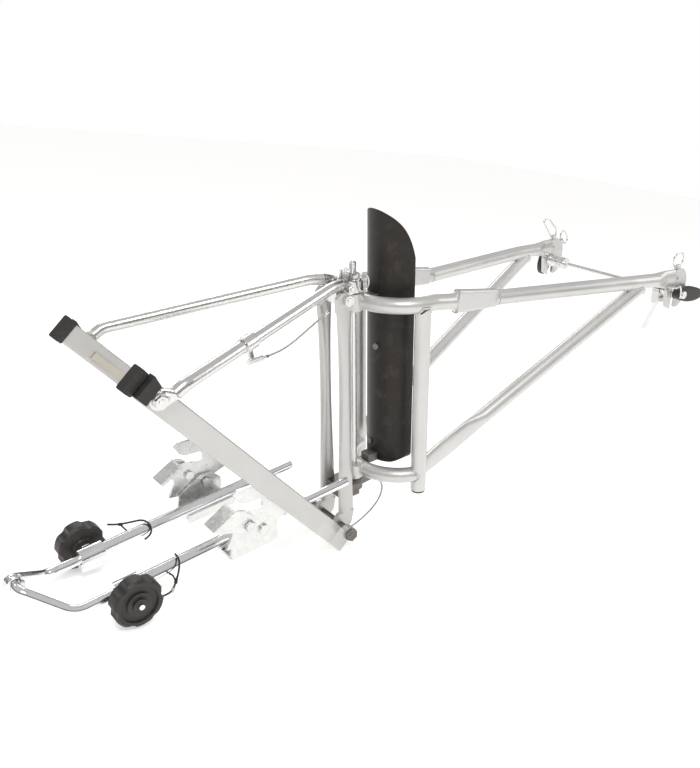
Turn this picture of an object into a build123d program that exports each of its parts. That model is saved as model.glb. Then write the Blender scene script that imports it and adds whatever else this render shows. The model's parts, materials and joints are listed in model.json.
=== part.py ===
from build123d import *
import math
import os

# Towing coupling that hangs a child's bicycle behind an adult's bicycle.
# Everything is drawn with the steering pin upright on the Z axis, the adult's bicycle towards +X and
# the child's bicycle towards -X. place() then leans the whole coupling back onto its two clamp knobs
# and the lower ends of its flat bars, the way it rests on a floor, with the floor at Z = 0.

# ---------------------------------------------------------------- driving dimensions (mm, degrees)
FRAME_TUBE = 16.0            # tow frame tubes
YOKE_RADIUS = 51.0           # centre line of the half rings around the mudguard
YOKE_CENTRE = 60.0
UPPER_YOKE_Z = 185.0
LOWER_YOKE_Z = -1.0
STRUT_X = 47.0
STRUT_Y = 50.5
STRUT_FOOT_Z = -18.5
ARM_ROUND = (84.0, 51.0, 181.1)       # end of the round root of each arm
FLAT_START = (90.0, 51.0, 180.1)      # flattened stretch of each arm
FLAT_END = (145.5, 51.0, 172.8)
FLAT_HEIGHT = (24.0, 19.0)
FLAT_WIDTH = 9.0
ARM_NECK = (151.0, 51.3, 172.1)       # where the arm is round again
ARM_BEND = (333.0, 84.5, 160.5)
ARM_END = (398.0, 92.0, 155.0)
GUARD_X = 54.0               # mudguard: axis, outer radius and wall
GUARD_RADIUS = 28.0
GUARD_WALL = 2.4
DROPOUT_X = 408.0            # wheel axle line
DROPOUT_Z = 137.0
DROPOUT_Y = 93.0             # middle of each dropout plate
PLATE = 4.0
CLIP_WIRE = 2.0
CLIP_BARREL = 6.0
PIN_DIAMETER = 7.0
RING_Y = -11.9               # plane of the linch pin's ring
CAM_PIN = (408.0, -74.8, 124.4)       # cross pin that the quick-release lever swings on
LEVER_Y = 102.0              # middle of the lock levers, outside the dropouts
LEVER_THICK = 9.0
LEG_X = -23.0
LEG_Y = 16.0
LUG_HALF = 8.5               # half width of the lug over the upper yoke
FOOT_AXLE = (-33.0, -50.0)   # x, z of the hinge axle under the legs
HEAD_BOLT = (-20.0, 195.0)   # x, z of the cross bolt through the leg tops
BOW_HEAD = (-12.5, 204.0)    # x, z of the cross bolt through the front eyes of the bow
BAR_FOOT = (-39.5, -58.6)    # x, z of the middle of the lower end of the flat bars
BAR_TOP = (-261.0, 197.0)    # x, z of the middle of the upper end
BAR_HEIGHT = 20.0
BAR_THICK = 8.0
BAR_FOOT_Y = 33.0            # sideways place of the bars: at the hinge, past the crank, at the top
BAR_WIDE_Y = 61.0
BAR_TOP_Y = 70.5
BOW_BOLT_X = -244.0
BOW_TUBE = 11.0
BOW_EYE_Y = 76.8
HUB_JAW_Y = 54.5             # inner face of each wheel-hub jaw
JAW_PLATE = 3.0
TILT_PIVOT = (-148.0, 14.0)  # x, z of the bolts that the telescopic tubes tilt on
LATCH_PIVOT = (-164.0, 25.5)
TUBE_Y = 33.3
TUBE_Z0 = 15.1               # height of the tube axes above the steering origin
TUBE_SLOPE = 4.7             # degrees
OUTER_TUBE = 13.0
SLIDE_ROD = 9.0
SLIDE_GAP = 0.08
KNOB_DIAMETER = 45.0
KNOB_STUD = 5.0
KNOB_TURN = {-1: 35.0, 1: 20.0}
CORD_WIRE = 1.8
REST_TILT = -8.39            # lean of the steering pin when the coupling rests on a floor
REST_HEIGHT = 71.32
REST_X = -34.810              # brings the middle of the whole length to X = 0


# ---------------------------------------------------------------- helpers
def place(shape):
    """Lean a part drawn with an upright steering pin into its resting place."""
    return shape.moved(Location((REST_X, 0, REST_HEIGHT), (0, REST_TILT, 0)))


def save(shape, node):
    """Write one node, as a single solid or as a group of separate solids."""
    solids = shape.solids()
    body = solids[0] if len(solids) == 1 else Compound(children=list(solids))
    export_step(place(body), f"parts/{node}.step")


def mirror_y(point, side):
    return (point[0], side * point[1], point[2])


def cylinder(start, end, diameter):
    """Solid round bar between two points."""
    a, b = Vector(*start), Vector(*end)
    plane = Plane(origin=a, z_dir=(b - a))
    return extrude(plane * Circle(diameter / 2), (b - a).length)


def along_y(x, z, y0, y1, diameter):
    """Round bar parallel to Y."""
    return cylinder((x, y0, z), (x, y1, z), diameter)


def hexagon(x, z, y0, y1, across_flats):
    """Hexagonal nut or bolt head with its axis parallel to Y."""
    plane = Plane(origin=(x, y0, z), z_dir=(0, y1 - y0, 0))
    return extrude(plane * RegularPolygon(across_flats / 2, 6, major_radius=False), abs(y1 - y0))


def section_plane(point, direction):
    """Plane across a member, its local Y as upright as the member allows."""
    across = Vector(*direction).cross(Vector(0, 0, 1))
    return Plane(origin=point, x_dir=across, z_dir=direction)


def oval_run(stations, direction):
    """Member whose oval section changes along it: stations hold (point, width, height)."""
    sections = [section_plane(p, direction) * Ellipse(w / 2, h / 2) for p, w, h in stations]
    return loft(sections, ruled=True)


def swept_tube(points, radii, diameter):
    """Round tube along straight runs joined by tangent arcs."""
    path = FilletPolyline(*points, radius=radii)
    start = Plane(origin=path @ 0, z_dir=path % 0)
    return sweep(start * Circle(diameter / 2), path=path)


def side_plate(outline, y0, y1):
    """Sheet cut to an outline given in X and Z, between two Y values."""
    face = Plane.XZ * make_face(Polyline(*outline, close=True))
    return extrude(face.moved(Location((0, max(y0, y1), 0))), abs(y1 - y0))


def lerp(a, b, t):
    return tuple(p + (q - p) * t for p, q in zip(a, b))


def tube_axis(x, side):
    """Point on the axis of a telescopic tube."""
    return (x, side * TUBE_Y, TUBE_Z0 + x * math.tan(math.radians(TUBE_SLOPE)))


# ---------------------------------------------------------------- tow frame
def half_ring(height):
    """Half ring of tube around the mudguard, from one strut line to the other."""
    centre = Plane(origin=(YOKE_CENTRE, 0, height))
    ring = centre * CenterArc((0, 0), YOKE_RADIUS, 90, 180)
    start = Plane(origin=ring @ 0, z_dir=ring % 0)
    return sweep(start * Circle(FRAME_TUBE / 2), path=ring)


def strut_tube(side, grow=0.0):
    y = side * STRUT_Y
    return cylinder((STRUT_X, y, STRUT_FOOT_Z), (STRUT_X, y, UPPER_YOKE_Z + 4), FRAME_TUBE + grow)


def upper_yoke():
    ring = half_ring(UPPER_YOKE_Z)
    boss = Pos(0, 0, UPPER_YOKE_Z + 1) * Cylinder(10, 18)
    return ring + boss - Cylinder(PIN_DIAMETER / 2 + 0.05, 600)


def lower_yoke():
    ring = half_ring(LOWER_YOKE_Z)
    boss = Pos(0, 0, LOWER_YOKE_Z) * Cylinder(9.5, 15)
    body = ring + boss - Cylinder(PIN_DIAMETER / 2 + 0.05, 600)
    for side in (-1, 1):
        body = body - strut_tube(side)
    beyond = Pos(YOKE_CENTRE + 10, 0, LOWER_YOKE_Z) * Box(2 * (YOKE_CENTRE + 10 - STRUT_X), 160, 40)
    return (body - beyond).solids().sort_by(SortBy.VOLUME)[-1]


def arm(side):
    """Upper arm: round, flattened for heel room, round again, then pressed flat at the dropout."""
    root = mirror_y((YOKE_CENTRE, YOKE_RADIUS, UPPER_YOKE_Z), side)
    first = mirror_y(ARM_ROUND, side)
    flat0, flat1 = mirror_y(FLAT_START, side), mirror_y(FLAT_END, side)
    second = mirror_y(ARM_NECK, side)
    bend, end = mirror_y(ARM_BEND, side), mirror_y(ARM_END, side)
    body = cylinder(lerp(root, first, -0.1), lerp(root, first, 1.02), FRAME_TUBE)
    body -= Pos(YOKE_CENTRE - 20, side * YOKE_RADIUS, UPPER_YOKE_Z) * Box(40, 30, 40)
    forward = Vector(*flat1) - Vector(*flat0)
    tall, low = FLAT_HEIGHT
    body += oval_run([(first, FRAME_TUBE, FRAME_TUBE), (flat0, FLAT_WIDTH, tall - 1)], forward)
    pressed = [
        section_plane(flat0, forward) * RectangleRounded(FLAT_WIDTH, tall, 3),
        section_plane(flat1, forward) * RectangleRounded(FLAT_WIDTH, low, 3),
    ]
    body += loft(pressed, ruled=True)
    body += oval_run([(flat1, FLAT_WIDTH, low - 1), (second, FRAME_TUBE, FRAME_TUBE)], forward)
    press_start = lerp(bend, end, 0.62)
    body += swept_tube([lerp(second, bend, -0.012), bend, press_start], [60.0], FRAME_TUBE)
    direction = Vector(*end) - Vector(*bend)
    flat_stations = [
        (press_start, FRAME_TUBE, FRAME_TUBE),
        (lerp(bend, end, 0.86), 8.5, 21.0),
        (lerp(bend, end, 1.12), 7.4, 22.0),
    ]
    body += oval_run(flat_stations, direction)
    return body - dropout(side)


def strut(side):
    body = strut_tube(side) - half_ring(UPPER_YOKE_Z) - cylinder((40, side * 51, 185), (90, side * 51, 185), 16)
    return body.solids().sort_by(Axis.Z)[0]


def strut_plugs():
    """Pressed-in plastic plugs under the struts."""
    plugs = []
    for side in (-1, 1):
        foot = (STRUT_X, side * STRUT_Y, STRUT_FOOT_Z)
        low = (STRUT_X, side * STRUT_Y, STRUT_FOOT_Z - 2.2)
        plugs.append(cylinder(foot, low, FRAME_TUBE - 1.5))
    return Compound(children=plugs)


def diagonal(side):
    """Diagonal strut: a pressed blade at the foot, round above, coped under the arm."""
    foot = mirror_y((48.0, 51.2, 5.5), side)
    top = mirror_y((349.0, 86.0, 152.5), side)
    direction = Vector(*top) - Vector(*foot)
    stations = [
        (foot, 8.0, 20.0),
        (lerp(foot, top, 0.10), 7.0, 23.0),
        (lerp(foot, top, 0.20), 8.0, 22.0),
        (lerp(foot, top, 0.27), FRAME_TUBE, FRAME_TUBE),
    ]
    body = oval_run(stations, direction)
    body += cylinder(lerp(foot, top, 0.27), top, FRAME_TUBE)
    body = body - strut_tube(side, 0.02) - arm_envelope(side)
    return body.solids().sort_by(SortBy.VOLUME)[-1]


def arm_envelope(side):
    """The arm's round stretch, and all that lies above it, for coping the diagonal."""
    second, bend = mirror_y(ARM_NECK, side), mirror_y(ARM_BEND, side)
    end = mirror_y(ARM_END, side)
    body = swept_tube([second, bend, end], [60.0], FRAME_TUBE + 0.02)
    return body + body.moved(Location((0, 0, 7))) + body.moved(Location((0, 0, 14)))


# Wire clips: side, place of the barrel, its turn from level, then half width, height and lean of the loop.
CLIPS = {
    "near": (-1, 410.0, DROPOUT_Z + 30.9, 0.0, 11.0, 16.0, -2.0),
    "far": (1, 428.7, DROPOUT_Z + 22.6, 55.0, 10.5, 12.0, 0.0),
    "far_second": (1, 411.0, DROPOUT_Z + 30.9, 0.0, 8.5, 25.0, -17.0),
}


def clip_axis(name):
    """Two ends of the barrel that a wire clip turns in."""
    side, x, z, turn, _, _, _ = CLIPS[name]
    u = math.cos(math.radians(turn)) * CLIP_BARREL / 2
    v = -math.sin(math.radians(turn)) * CLIP_BARREL / 2
    y = side * DROPOUT_Y
    return (x - u, y, z - v), (x + u, y, z + v)


def dropout(side):
    """Dropout plate: round head with a small hole, a slot that hooks over the cone, clip barrels."""
    head = (DROPOUT_X + 5, DROPOUT_Z + 11)
    y0, y1 = side * DROPOUT_Y - PLATE / 2, side * DROPOUT_Y + PLATE / 2
    body = along_y(*head, y0, y1, 35)
    lower = [(393, 142), (395, 122), (402, 118), (418, 118), (430, 126), (430.5, 148), (405, 152)]
    body += side_plate(lower, y0, y1)
    clips = [clip_axis(name) for name in CLIPS if CLIPS[name][0] == side]
    for start, end in clips:
        body += cylinder(start, end, 5.4)
    body -= along_y(DROPOUT_X, DROPOUT_Z, y0 - 1, y1 + 1, 10.4)
    throat = [(402.8, 137), (413.2, 137), (413.2, 110), (402.8, 110)]
    body -= side_plate(throat, y0 - 1, y1 + 1)
    for start, end in clips:
        body -= cylinder(lerp(start, end, -0.6), lerp(start, end, 1.6), CLIP_WIRE + 0.12)
    return body - along_y(411.0, 154.0, y0 - 1, y1 + 1, 4.2)


def mudguard():
    """Half-pipe shield between the tyre and the steering pin, its top cut back in a long curve."""
    shell = Cylinder(GUARD_RADIUS, 400) - Cylinder(GUARD_RADIUS - GUARD_WALL, 402)
    shell = Pos(GUARD_X, 0, 200) * shell
    back, rim = GUARD_X - GUARD_RADIUS, GUARD_X + 2.0
    crown = Spline((back - 2, 274.5), (back + 6, 267.5), (back + 15, 258.0), (back + 24, 242.5), (rim, 225.0))
    outline = crown + Polyline((rim, 225.0), (rim, 4.0), (back - 2, 4.0), (back - 2, 274.5))
    side_view = extrude(Plane.XZ * make_face(outline), 60, both=True)
    front_face = Rectangle(2 * GUARD_RADIUS + 1, 400, align=(Align.CENTER, Align.MIN))
    front_face = fillet(front_face.vertices().group_by(Axis.Y)[0], 11)
    front_view = extrude(Plane(origin=(0, 0, 3.9), x_dir=(0, 1, 0), z_dir=(1, 0, 0)) * front_face, 120)
    return shell & side_view & front_view


def mudguard_fixings():
    """Stand-offs that hold the mudguard off the yokes, and the rivets through its back."""
    solids = []
    pipe = Pos(GUARD_X, 0, 150) * Cylinder(GUARD_RADIUS, 400)
    for height in (UPPER_YOKE_Z, LOWER_YOKE_Z + 9):
        pad = Pos(21.5, 0, height) * Box(12, 13, 9)
        pad = pad - half_ring(UPPER_YOKE_Z) - half_ring(LOWER_YOKE_Z) - pipe
        solids.append(pad.solids().sort_by(SortBy.VOLUME)[-1])
    for angle, height in ((190, 134.0), (172, 23.0)):
        turn = Location((GUARD_X, 0, height), (0, 0, angle))
        rivet = Pos(GUARD_RADIUS + 0.9, 0, 0) * Rot(0, 90, 0) * Cylinder(3.2, 2.4) - Cylinder(GUARD_RADIUS, 20)
        solids.append(rivet.moved(turn).solids()[0])
    return Compound(children=solids)


def skewer():
    """Quick-release skewer with the cones that the dropouts hook over and the lever pivots."""
    reach = LEVER_Y + LEVER_THICK / 2
    body = along_y(DROPOUT_X, DROPOUT_Z, -reach - 1.0, reach + 1.0, 5.0)
    for side in (-1, 1):
        body += along_y(DROPOUT_X, DROPOUT_Z, side * 90.7, side * 95.6, 10.0)
        cone = Plane(origin=(DROPOUT_X, side * 90.7, DROPOUT_Z), z_dir=(0, -side, 0))
        tip = cone.offset(11) * Circle(6.0)
        body += loft([cone * Circle(9.0), tip])
        body += along_y(DROPOUT_X, DROPOUT_Z, side * 95.6, side * 97.2, 15.0)
        body += along_y(DROPOUT_X, DROPOUT_Z, side * (reach + 0.3), side * (reach + 2.4), 9.0)
    return body


def cam_housing():
    """Cam block of the quick release, inside the near dropout, forked for the lever."""
    block = along_y(DROPOUT_X, DROPOUT_Z, -79.4, -70.5, 14.0)
    block += Pos(DROPOUT_X, -74.95, DROPOUT_Z - 9) * Box(15, 8.9, 16)
    block -= Pos(DROPOUT_X, -74.95, DROPOUT_Z - 13) * Box(9.8, 12, 14)
    block -= along_x(CAM_PIN, 20, 5.12)
    return block - along_y(DROPOUT_X, DROPOUT_Z, -100, -60, 5.2)


def cam_lever():
    """Curved quick-release lever that swings about a pin across the skewer."""
    spine = Spline((DROPOUT_X, -75.0, 122.6), (DROPOUT_X + 1, -70.0, 108.0), (DROPOUT_X + 2, -61.5, 84.0))
    start = Plane(origin=spine @ 0, x_dir=(1, 0, 0), z_dir=spine % 0)
    finish = Plane(origin=spine @ 1, x_dir=(1, 0, 0), z_dir=spine % 1)
    middle = Plane(origin=spine @ 0.5, x_dir=(1, 0, 0), z_dir=spine % 0.5)
    blade = loft([start * Ellipse(3.8, 2.1), middle * Ellipse(4.6, 1.9), finish * Ellipse(6.4, 2.3)])
    return blade + along_x(CAM_PIN, 15, 5)


def along_x(centre, length, diameter):
    x, y, z = centre
    return cylinder((x - length / 2, y, z), (x + length / 2, y, z), diameter)


def axle_nut():
    """Knurled adjusting nut on the far end of the skewer."""
    nut = along_y(DROPOUT_X, DROPOUT_Z, 66.0, 79.2, 15.0)
    for k in range(16):
        angle = math.radians(22.5 * k)
        x = DROPOUT_X + 7.8 * math.cos(angle)
        z = DROPOUT_Z + 7.8 * math.sin(angle)
        nut -= along_y(x, z, 69.0, 77.0, 1.6)
    return nut - along_y(DROPOUT_X, DROPOUT_Z, 60, 84, 5.12)


def lock_lever(side, angle, reach):
    """Black oval lever that locks a dropout over its cone; it turns on the end of the skewer."""
    y0 = side * LEVER_Y - LEVER_THICK / 2
    blade = Plane(origin=(DROPOUT_X + reach - 9, y0, DROPOUT_Z), x_dir=(1, 0, 0), z_dir=(0, 1, 0))
    grip = extrude(blade * Ellipse(reach, 9), LEVER_THICK)
    grip = fillet(grip.edges(), 2.2)
    grip -= along_y(DROPOUT_X, DROPOUT_Z, side * 90, side * 115, 5.12)
    return grip.rotate(Axis((DROPOUT_X, 0, DROPOUT_Z), (0, 1, 0)), angle)


def wire_bail(points, wire=CLIP_WIRE):
    """Bent wire loop with every corner rounded as far as its runs allow."""
    return swept_tube(points, route_radii(points), wire)


def clip(name):
    """Wire loop that turns in a barrel on top of a dropout and snaps over the lock lever."""
    side, x, z, turn, half_width, rise, lean = CLIPS[name]
    y = side * DROPOUT_Y
    c, n = math.cos(math.radians(turn)), math.sin(math.radians(turn))
    out = CLIP_BARREL / 2 + 1.4
    loop = [
        (0.3, 0.0, 0.0),
        (out, 0.0, 0.0),
        (half_width + lean * 0.2, rise * 0.38, 0.5),
        (half_width * 0.72 + lean, rise, 1.2),
        (-half_width * 0.72 + lean, rise, 1.2),
        (-half_width + lean * 0.2, rise * 0.38, 0.5),
        (-out, 0.0, 0.0),
        (-0.3, 0.0, 0.0),
    ]
    return wire_bail([(x + a * c + b * n, y + side * e, z - a * n + b * c) for a, b, e in loop])


def keeper():
    """White spring wire laid over the near lock lever, bent down in front of its pivot."""
    inner = DROPOUT_Y + PLATE / 2
    points = [
        (393.5, -inner, 147.0),
        (391.5, -inner - 6, 147.5),
        (392.0, -107.9, 148.5),
        (396.8, -107.9, 151.0),
        (401.0, -107.9, 144.0),
        (401.2, -107.9, 134.5),
    ]
    return wire_bail(points)


# ---------------------------------------------------------------- drawbar
def leg(side):
    """Upright of the drawbar: tube pressed flat at both ends and waisted between them."""
    y = side * LEG_Y
    sizes = [(-38, 5.0, 19.0), (20, 7.4, 16.0), (100, 9.6, 12.0), (165, 7.6, 15.0), (187, 5.0, 18.0)]
    sections = []
    for height, width, depth in sizes:
        plane = Plane(origin=(LEG_X, y, height), x_dir=(1, 0, 0), z_dir=(0, 0, 1))
        sections.append(plane * Ellipse(depth / 2, width / 2))
    body = loft(sections)
    thick = 2.4
    foot = [(-33, -36), (-14, -36), (-17, -50), (-24, -57), (-33, -59), (-41, -54), (-41, -46)]
    top = [(-32, 184), (-14, 184), (-14, 193), (-15.5, 197), (-20, 202.5), (-27, 203), (-32, 198)]
    body += side_plate(foot, y - thick, y + thick)
    body += side_plate(top, y - thick, y + thick)
    body -= along_y(*FOOT_AXLE, y - 9, y + 9, 8.1)
    return body - along_y(*HEAD_BOLT, y - 9, y + 9, 6.1)


def head_lug():
    """Block over the upper yoke that ties the head bolt to the steering pin."""
    block = Pos(-13, 0, 202.0) * Box(20, 2 * LUG_HALF, 11)
    block += Pos(0, 0, 202.0) * Cylinder(10, 11)
    block += Pos(-20, 0, 198.5) * Box(12, 2 * LUG_HALF, 17)
    block -= Cylinder(PIN_DIAMETER / 2, 600)
    block -= Pos(0, 0, UPPER_YOKE_Z + 1) * Cylinder(12.5, 18.8)
    block -= along_y(*BOW_HEAD, -20, 20, 5.1)
    return block - along_y(*HEAD_BOLT, -20, 20, 6.1)


def foot_lug():
    """Dark steel lug under the lower yoke, with a tongue pointing forwards."""
    top, bottom = LOWER_YOKE_Z - 8.6, LOWER_YOKE_Z - 21.0
    height = top - bottom
    lug = Pos(0, 0, (top + bottom) / 2) * Cylinder(9.5, height)
    lug += Pos(-16, 0, (top + bottom) / 2) * Box(22, 2 * LEG_Y, height)
    tongue = [(4, -19.5), (25, -17.4), (26, -15.0), (4, -10.2)]
    lug += side_plate(tongue, -6, 6)
    lug = lug - Cylinder(PIN_DIAMETER / 2, 600) - leg(-1) - leg(1)
    return lug.solids().sort_by(SortBy.VOLUME)[-1]


def steering_pin():
    """Long bright pin through both yokes, with a domed foot nut."""
    pin = cylinder((0, 0, -30), (0, 0, 226), PIN_DIAMETER)
    pin = chamfer(pin.edges().group_by(Axis.Z)[-1], 1.2)
    return pin - along_y(0, 216, -6, 6, 3.0)


def pin_hardware():
    """Washers, lock nuts and spring posts around the top of the steering pin, and its foot nut."""
    bore = Cylinder(PIN_DIAMETER / 2, 600)
    solids = []
    washer = Pos(0, 0, 208.9) * Cylinder(9, 1.6) - bore
    nut = extrude(Plane(origin=(0, 0, 209.8)) * RegularPolygon(6.8, 6, major_radius=False), 3.6) - bore
    solids += [washer, nut]
    foot_washer = Pos(0, 0, -22.9) * Cylinder(8, 1.6) - bore
    foot_nut = extrude(Plane(origin=(0, 0, -29.7)) * RegularPolygon(6.2, 6, major_radius=False), 5.9) - bore
    solids += [foot_washer, foot_nut]
    for x, y, height in ((-11, -3, 15.0), (-10.5, 4.5, 11.0), (-17, 0, 5.5)):
        solids.append(cylinder((x, y, 207.5), (x, y, 207.5 + height), 3.4))
    return Compound(children=[s for part in solids for s in part.solids()])


def pull_ring():
    """Linch pin through the top of the steering pin, with its wire ring."""
    body = cylinder((0, -13.2, 216), (0, 8.5, 216), 2.9)
    ring = [
        (0.0, RING_Y, 216.0),
        (-2.6, RING_Y, 211.5),
        (-2.8, RING_Y, 204.0),
        (0.5, RING_Y, 198.6),
        (6.0, RING_Y, 197.6),
        (10.8, RING_Y, 203.0),
        (10.0, RING_Y, 211.5),
        (4.0, RING_Y, 216.8),
    ]
    return body + wire_bail(ring, 1.8)


def hinge_axle():
    """Axle through the leg feet and the lower ends of the flat bars, with spacers and nuts."""
    x, z = FOOT_AXLE
    reach = BAR_FOOT_Y + BAR_THICK / 2
    axle = along_y(x, z, -reach - 4.6, reach + 4.6, 8.0)
    axle += along_y(x, z, -LEG_Y + 2.5, LEG_Y - 2.5, 12.0)
    for side in (-1, 1):
        inner = side * (reach + 0.3)
        spacer_end = side * (BAR_FOOT_Y - BAR_THICK / 2 - 0.3)
        axle += along_y(x, z, side * (LEG_Y + 2.5), spacer_end, 11.0)
        axle += hexagon(x, z, inner, inner + side * 3.4, 12.0)
    return axle


def head_bolt():
    """Two cross bolts through the head lug: one for the leg tops, one for the bow."""
    x, z = HEAD_BOLT
    body = along_y(x, z, -23.0, 23.0, 6.0)
    for side in (-1, 1):
        body += along_y(x, z, side * LUG_HALF, side * (LEG_Y - 2.4), 7.6)
        body += hexagon(x, z, side * 18.7, side * 22.2, 10.0)
    x, z = BOW_HEAD
    second = along_y(x, z, -17.5, 17.5, 5.0)
    for side in (-1, 1):
        second += hexagon(x, z, side * 13.3, side * 16.6, 9.0)
    return Compound(children=[body, second])


FOOT_WIRE = [
    (24.5, -7.0, -17.5),
    (33.0, -10.0, -24.0),
    (25.0, -15.0, -38.0),
    (8.0, -18.5, -47.0),
    (-9.0, -20.0, -53.0),
    (-19.0, -20.6, -54.5),
]


def route_radii(points, share=0.45):
    """Largest arc that two neighbouring runs allow at each inner point of a cord's route."""
    radii = []
    for a, b, c in zip(points, points[1:], points[2:]):
        first, second = Vector(*b) - Vector(*a), Vector(*c) - Vector(*b)
        turn = math.radians(first.get_angle(second))
        radii.append(share * min(first.length, second.length) / math.tan(turn / 2))
    return radii


def cord(name, points, diameter):
    """Plain tube of a cord: straight runs joined by the largest tangent arcs."""
    radii = route_radii(points)
    body = swept_tube(points, radii, diameter)
    path = FilletPolyline(*points, radius=radii)
    section = math.pi * diameter**2 / 4
    ratio = body.volume / (section * path.length)
    print(name, "length", round(path.length, 1), "radii", [round(r, 1) for r in radii], "fill", round(ratio, 3))
    return body


# ---------------------------------------------------------------- flat bars and what they carry
BAR_DIRECTION = (Vector(BAR_TOP[0], 0, BAR_TOP[1]) - Vector(BAR_FOOT[0], 0, BAR_FOOT[1])).normalized()
BAR_LENGTH = math.dist(BAR_TOP, BAR_FOOT)
BAR_NORMAL = Vector(-BAR_DIRECTION.Z, 0, BAR_DIRECTION.X)
BAR_PLANE = Plane(origin=(BAR_FOOT[0], 0, BAR_FOOT[1]), x_dir=BAR_DIRECTION, z_dir=BAR_NORMAL)


def bar_centre_y(s):
    """Sideways place of a bar's middle at the distance s from its lower end."""
    if s < 20:
        return BAR_FOOT_Y
    if s < 75:
        return BAR_FOOT_Y + (BAR_WIDE_Y - BAR_FOOT_Y) * (s - 20) / 55
    return BAR_WIDE_Y + (BAR_TOP_Y - BAR_WIDE_Y) * (s - 75) / (BAR_LENGTH - 75)


def bar_point(s, offset=0.0):
    """X and Z of a point s along a bar and offset above its middle line."""
    x = BAR_FOOT[0] + s * BAR_DIRECTION.X + offset * BAR_DIRECTION.Z
    z = BAR_FOOT[1] + s * BAR_DIRECTION.Z - offset * BAR_DIRECTION.X
    return (x, z)


def bar(side):
    """Flat bar: an ear for the hinge axle at its foot, cranked outwards, then running wide."""
    half = BAR_THICK / 2
    stations = [0, 20, 75, BAR_LENGTH]
    flip = BAR_PLANE.y_dir.Y * side
    inner = [(s, flip * (bar_centre_y(s) - half)) for s in stations]
    outer = [(s, flip * (bar_centre_y(s) + half)) for s in reversed(stations)]
    face = BAR_PLANE * make_face(Polyline(*inner, *outer, close=True))
    body = extrude(face, BAR_HEIGHT / 2, both=True)
    rims = [e for e in body.edges() if e.length > 200]
    body = fillet(rims, 1.6)
    y0, y1 = side * (BAR_FOOT_Y - half), side * (BAR_FOOT_Y + half)
    x, z = FOOT_AXLE
    body += along_y(x, z, y0, y1, 15.0)
    web = [bar_point(1, 9), bar_point(14, 9), (x - 6, z + 5), (x + 5, z - 5)]
    body += side_plate(web, y0, y1)
    return body - along_y(x, z, side * 20, side * 60, 8.1)


def bar_caps():
    """Ribbed plastic caps on the free ends."""
    caps = []
    for side in (-1, 1):
        y = side * bar_centre_y(BAR_LENGTH)
        base = Plane(origin=(BAR_TOP[0], y, BAR_TOP[1]), x_dir=(0, 1, 0), z_dir=BAR_DIRECTION)
        cap = extrude(base.offset(-6.5) * RectangleRounded(BAR_THICK + 3, BAR_HEIGHT + 2.4, 2), 9.2)
        caps.append((cap - bar(side)).solids().sort_by(SortBy.VOLUME)[-1])
    return Compound(children=caps)


BOW_BOLT_S = (BAR_FOOT[0] - BOW_BOLT_X) / -BAR_DIRECTION.X
BOW_BOLT_XZ = bar_point(BOW_BOLT_S)


def bow_bolts():
    """Bolts that the bow hinges on, with washers and nuts."""
    solids = []
    x, z = BOW_BOLT_XZ
    y = bar_centre_y(BOW_BOLT_S)
    for side in (-1, 1):
        eye_in, eye_out = BOW_EYE_Y - 2.1, BOW_EYE_Y + 2.1
        body = along_y(x, z, side * (y - 8), side * (eye_out + 5.6), 6.0)
        body += hexagon(x, z, side * (y - 3.5), side * (y - 8.4), 10.0)
        body += along_y(x, z, side * (y + 3), side * (eye_in - 0.3), 11.0)
        body += along_y(x, z, side * (eye_out + 0.3), side * (eye_out + 1.5), 12.0)
        body += hexagon(x, z, side * (eye_out + 1.5), side * (eye_out + 5.0), 10.0)
        solids.append((body - bar(side)).solids().sort_by(SortBy.VOLUME)[-1])
    return Compound(children=solids)


def bumpers():
    """Rubber buffers on the outer faces, just behind the bow bolts."""
    blocks = []
    for side in (-1, 1):
        y0 = side * (bar_centre_y(BOW_BOLT_S + 14) + 3)
        corners = [bar_point(BOW_BOLT_S + s, o) for s, o in ((8, -9), (8, 9.5), (18, 12.5), (19, -9))]
        block = side_plate(corners, y0, side * 82.0)
        blocks.append((block - bar(side)).solids().sort_by(SortBy.VOLUME)[-1])
    return Compound(children=blocks)


def reflectors():
    """Thin tan strips let on to the inner faces of the flat bars."""
    strips = []
    for side in (-1, 1):
        corners = [bar_point(s, o) for s, o in ((250, -5.5), (250, 1.5), (302, 1.5), (302, -5.5))]
        y_mid = bar_centre_y(276)
        block = side_plate(corners, side * (y_mid - BAR_THICK / 2 - 0.9), side * (y_mid + 3))
        strips.append((block - bar(side)).solids().sort_by(SortBy.VOLUME)[-1])
    return Compound(children=strips)


def hub_jaw(side):
    """Pressed bracket with a hooked slot for the front wheel's axle, bolted inside a flat bar."""
    outline = [
        (-187, 7), (-143, 1), (-137, 17), (-122, 22), (-106, 8), (-95, 14), (-122, 46),
        (-138, 62), (-172, 62.5), (-177, 60), (-172, 51.5), (-166, 47.6), (-150, 47.0),
        (-146.5, 43.5), (-148, 38.5), (-154, 37.0), (-175, 40.5), (-181, 33), (-180, 20),
    ]
    inner, outer = HUB_JAW_Y, HUB_JAW_Y + JAW_PLATE
    plate = side_plate(outline, side * inner, side * outer)
    plate -= bar(side)
    plate = plate.solids().sort_by(SortBy.VOLUME)[-1]
    plate -= along_y(*TILT_PIVOT, side * 40, side * 70, 6.1)
    plate -= along_y(*LATCH_PIVOT, side * 40, side * 70, 5.1)
    return plate


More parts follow.
